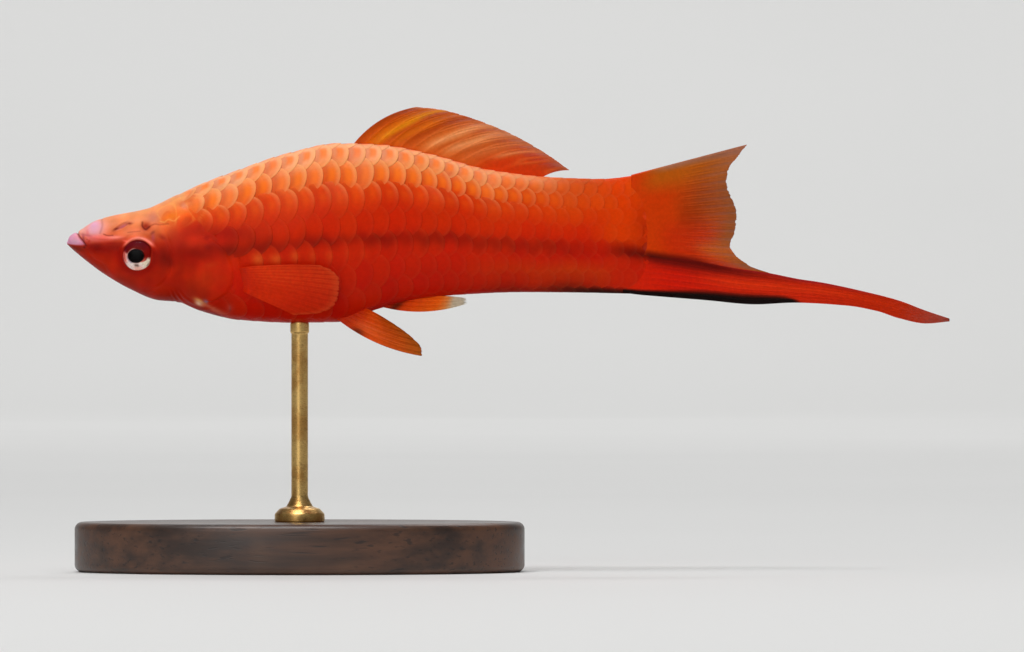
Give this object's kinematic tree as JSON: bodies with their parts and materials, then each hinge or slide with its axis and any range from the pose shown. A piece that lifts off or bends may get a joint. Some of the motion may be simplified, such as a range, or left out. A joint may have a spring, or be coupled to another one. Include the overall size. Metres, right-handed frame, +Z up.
{
  "type": "swordtail fish model on a display stand",
  "caption": "Life-size male swordtail fish in a level swimming pose, with rayed fins and a long tail sword, held over an oval base by one thin rod.",
  "frame": {"origin": "centre of the bounding box in plan, at the underside of the base", "axes": "+X from the head towards the tip of the sword, -Y towards the fish's left side, +Z up"},
  "size_m": [0.106, 0.034, 0.0558],
  "materials": {
    "skin": "wet satin skin, bright orange back and deep red belly",
    "lip": "smooth pinkish lilac skin",
    "fin": "translucent orange membrane between rays",
    "sword": "red with a black lower edge",
    "eye": "wet gloss",
    "wood": "dark stained, satin lacquer",
    "brass": "satin"
  },
  "bodies": {
    "root": {"upper_lip": "lip", "lower_lip": "lip", "lower_jaw": "skin", "head": "skin", "gill_cover_left": "skin", "gill_cover_right": "skin", "eye_left": "eye", "eye_right": "eye", "torso": "skin", "tail_stalk": "skin", "dorsal_fin": "fin", "caudal_fin": "fin", "sword": "sword", "anal_fin": "fin", "pelvic_fin_left": "fin", "pelvic_fin_right": "fin", "pectoral_fin_left": "fin", "pectoral_fin_right": "fin", "stand_base": "wood", "stand_rod": "brass"}
  },
  "joints": []
}
